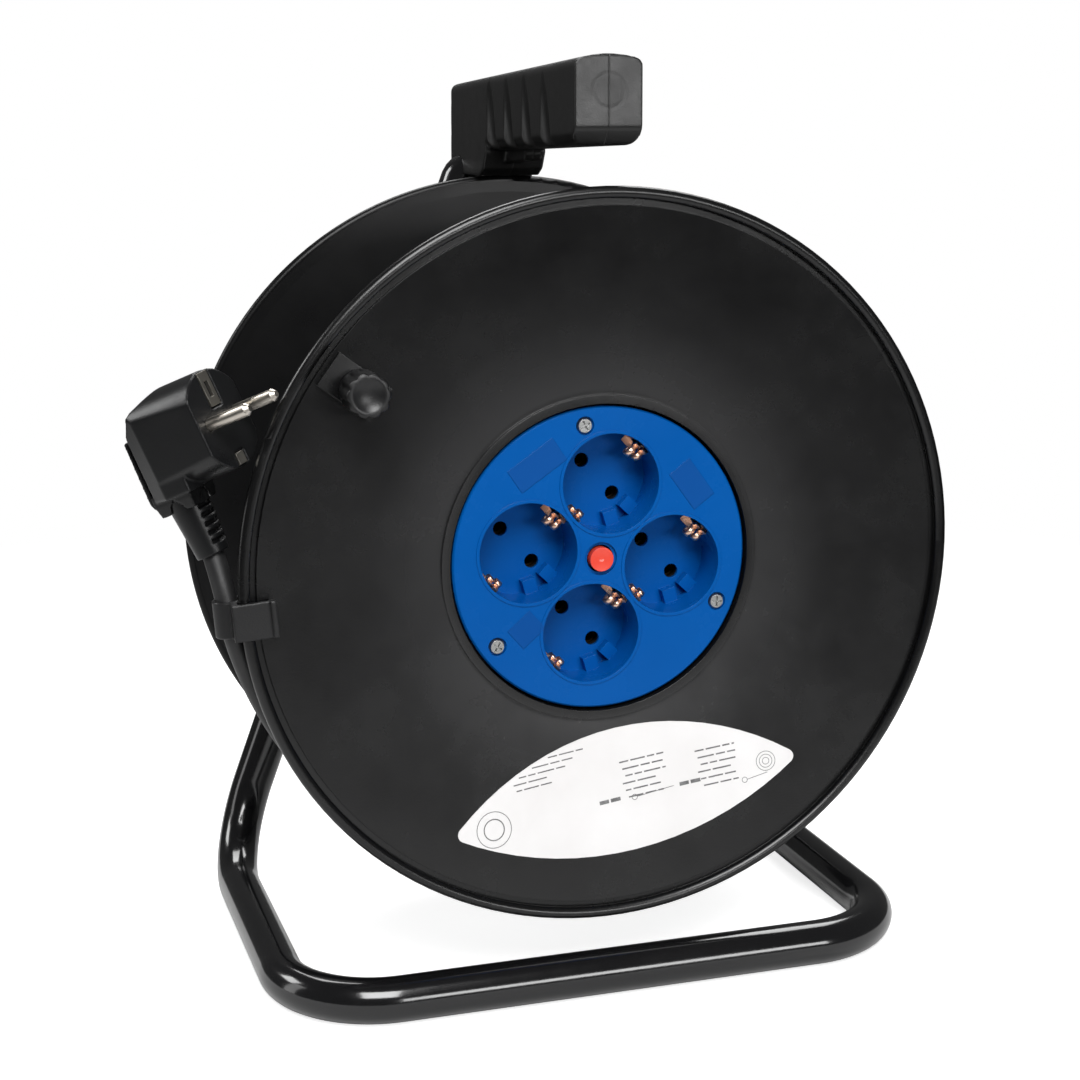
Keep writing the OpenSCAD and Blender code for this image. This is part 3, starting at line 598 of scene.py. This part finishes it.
# Rings: x, y, radius, stroke. Lines: two ends, stroke.
RINGS = ((60, 0.5, 1.4, 0.25), (60, 0.5, 2.7, 0.25), (60, 0.5, 4.0, 0.25), (3, -2, 1.1, 0.25),
         (50, -5.4, 1.1, 0.25), (-57, -0.5, 4.2, 0.45), (-57, -0.5, 7.2, 0.3))
LINES = ((4.2, -2, 20, -1.2, 0.25), (51.2, -5.4, 60, -4.2, 0.25),
         (-12, -1.2, -8, -1.2, 1.5), (-7.2, -1.2, -3, -1.2, 1.5),
         (22.5, -1.2, 26.5, -1.2, 1.5), (27.3, -1.2, 31.5, -1.2, 1.5))


def on_label(x, y):
    """A point of the label's own plane in millimetres, laid on the cone just above the sticker."""
    c, s = math.cos(LABEL_TURN), math.sin(LABEL_TURN)
    px, pu = LABEL_AT[0] + c * x - s * y, LABEL_AT[1] + s * x + c * y
    return drum_point(px, pu, plate_z(math.hypot(px, pu)) + PRINT_LIFT)


def print_marks():
    """Vertices and faces of every stroke of the printing."""
    vertices, faces = [], []

    def stroke(x0, y0, x1, y1, width):
        dx, dy = x1 - x0, y1 - y0
        length = math.hypot(dx, dy)
        nx, ny = -dy / length * width / 2, dx / length * width / 2
        base = len(vertices)
        corners = ((x0 - nx, y0 - ny), (x1 - nx, y1 - ny), (x1 + nx, y1 + ny), (x0 + nx, y0 + ny))
        vertices.extend(on_label(*corner) for corner in corners)
        faces.append((base, base + 1, base + 2, base + 3))

    def circle(x, y, r, width, steps=28):
        for k in range(steps):
            a, b = 2 * math.pi * k / steps, 2 * math.pi * (k + 1) / steps
            stroke(x + r * math.cos(a), y + r * math.sin(a), x + r * math.cos(b), y + r * math.sin(b), width)

    for left, top, rows, width, pitch, thick in DASH_BLOCKS:
        for row in range(rows):
            y = top - row * pitch
            edge = math.sqrt(LABEL_ARC_R ** 2 - (y + LABEL_ARC_DROP) ** 2) - LABEL_MARGIN
            x = max(left + (row % 3) * ROW_SHIFT, -edge)
            for dash in DASHES[row % len(DASHES)]:
                end = min(x + dash * DASH_UNIT, left + width, edge)
                if end - x > 1:
                    stroke(x, y, end, y, thick)
                x = end + DASH_GAP
    for line in LINES:
        stroke(*line)
    for ring in RINGS:
        circle(*ring)
    return vertices, faces


def ink_material():
    n = Nodes("grey_ink")
    n.link(n.ramp(n.noise(500, 3), [(0.35, 0.1), (0.7, 0.2)]), n.shader.inputs["Base Color"])
    n.link(n.ramp(n.noise(90, 2), [(0.3, 0.45), (0.7, 0.6)]), n.shader.inputs["Roughness"])
    return n.material


mesh_piece("label_printing", *print_marks(), "drum", "label_white", ink_material(), smooth=False)


# ---- studio ----
MIDDLE, PLUG_AT = (0, 0, 0.17), (-0.15, -0.05, 0.24)
# Name, place, what it points at, width and height, watts
LIGHTS = (
    ("front_key", (0.55, -1.75, 0.46), MIDDLE, (0.75, 0.36), 8.5),
    ("top_front", (-0.3, -1.3, 1.5), MIDDLE, (1.0, 1.0), 38),
    ("top_back", (0.3, 1.0, 1.6), MIDDLE, (1.6, 0.8), 26),
    ("left_strip", (-1.5, 0.2, 0.45), MIDDLE, (0.35, 1.1), 2.5),
    ("plug_rim", (-1.25, 0.6, 1.0), PLUG_AT, (0.5, 0.4), 5),
)
ROOM_GLOW = 0.08  # light that the room gives from all sides
TABLE_NEAR, TABLE_FAR = (0.62, 0.7), (0.82, 0.05)  # radius and whiteness of the floor that lights the object
SEEN_WHITE, SEEN_GLOW = 0.66, 0.8  # what the camera sees of the floor near the object
FLOOR_HALF, FLOOR_DROP = 4, 0.0004


def area_light(name, at, target, size, power):
    data = bpy.data.lights.new(name, "AREA")
    data.shape, data.size, data.size_y = "RECTANGLE", size[0], size[1]
    data.energy = power
    obj = bpy.data.objects.new(name, data)
    obj.location = at
    obj.rotation_euler = (Vector(target) - Vector(at)).to_track_quat("-Z", "Y").to_euler()
    scene.collection.objects.link(obj)


def floor_material():
    """Pale floor with soft shadows near the object that turns into plain white further out. To rays that
    don't come from the camera it is a round white table that ends in the dark."""
    n = Nodes("pale_floor")
    n.set(rough=0.9, spec=0.1)
    distance = n.add("ShaderNodeVectorMath", operation="LENGTH")
    n.link(n.place, distance.inputs[0])
    near = n.ramp(n.math("DIVIDE", distance.outputs["Value"], 1.2), [(0.3, 1.0), (0.75, 0.0)])
    seen = n.add("ShaderNodeLightPath").outputs["Is Camera Ray"]
    table = n.ramp(distance.outputs["Value"], [TABLE_NEAR, TABLE_FAR])
    n.link(n.math("MAXIMUM", table, n.math("MULTIPLY", seen, SEEN_WHITE)), n.shader.inputs["Base Color"])
    glow, white = n.add("ShaderNodeEmission"), n.add("ShaderNodeEmission")
    n.link(n.math("MULTIPLY", seen, SEEN_GLOW), glow.inputs["Strength"])
    n.link(seen, white.inputs["Strength"])
    lit = n.add("ShaderNodeAddShader")
    n.link(n.shader.outputs[0], lit.inputs[0])
    n.link(glow.outputs[0], lit.inputs[1])
    mix = n.add("ShaderNodeMixShader")
    n.link(near, mix.inputs[0])
    n.link(white.outputs[0], mix.inputs[1])
    n.link(lit.outputs[0], mix.inputs[2])
    out = next(node for node in n.tree.nodes if node.type == "OUTPUT_MATERIAL")
    n.link(mix.outputs[0], out.inputs[0])
    return n.material


def studio():
    """White surroundings for the camera, a dim room for the object, the floor and the lights."""
    world = bpy.data.worlds.new("studio")
    scene.world = world
    world.use_nodes = True
    tree = world.node_tree
    tree.nodes.clear()
    out = tree.nodes.new("ShaderNodeOutputWorld")
    mix, path = tree.nodes.new("ShaderNodeMixShader"), tree.nodes.new("ShaderNodeLightPath")
    tree.links.new(path.outputs["Is Camera Ray"], mix.inputs[0])
    for socket, strength in ((mix.inputs[1], ROOM_GLOW), (mix.inputs[2], 1.0)):
        shine = tree.nodes.new("ShaderNodeBackground")
        shine.inputs[0].default_value, shine.inputs[1].default_value = (1, 1, 1, 1), strength
        tree.links.new(shine.outputs[0], socket)
    tree.links.new(mix.outputs[0], out.inputs[0])

    mesh = bpy.data.meshes.new("floor")
    corners = [(x * FLOOR_HALF, y * FLOOR_HALF, 0) for x, y in ((-1, -1), (1, -1), (1, 1), (-1, 1))]
    mesh.from_pydata(corners, [], [(0, 1, 2, 3)])
    floor = bpy.data.objects.new("floor", mesh)
    floor.location.z = -FLOOR_DROP
    scene.collection.objects.link(floor)
    floor.data.materials.append(floor_material())

    for light in LIGHTS:
        area_light(*light)
    scene.view_settings.view_transform = "Standard"


studio()
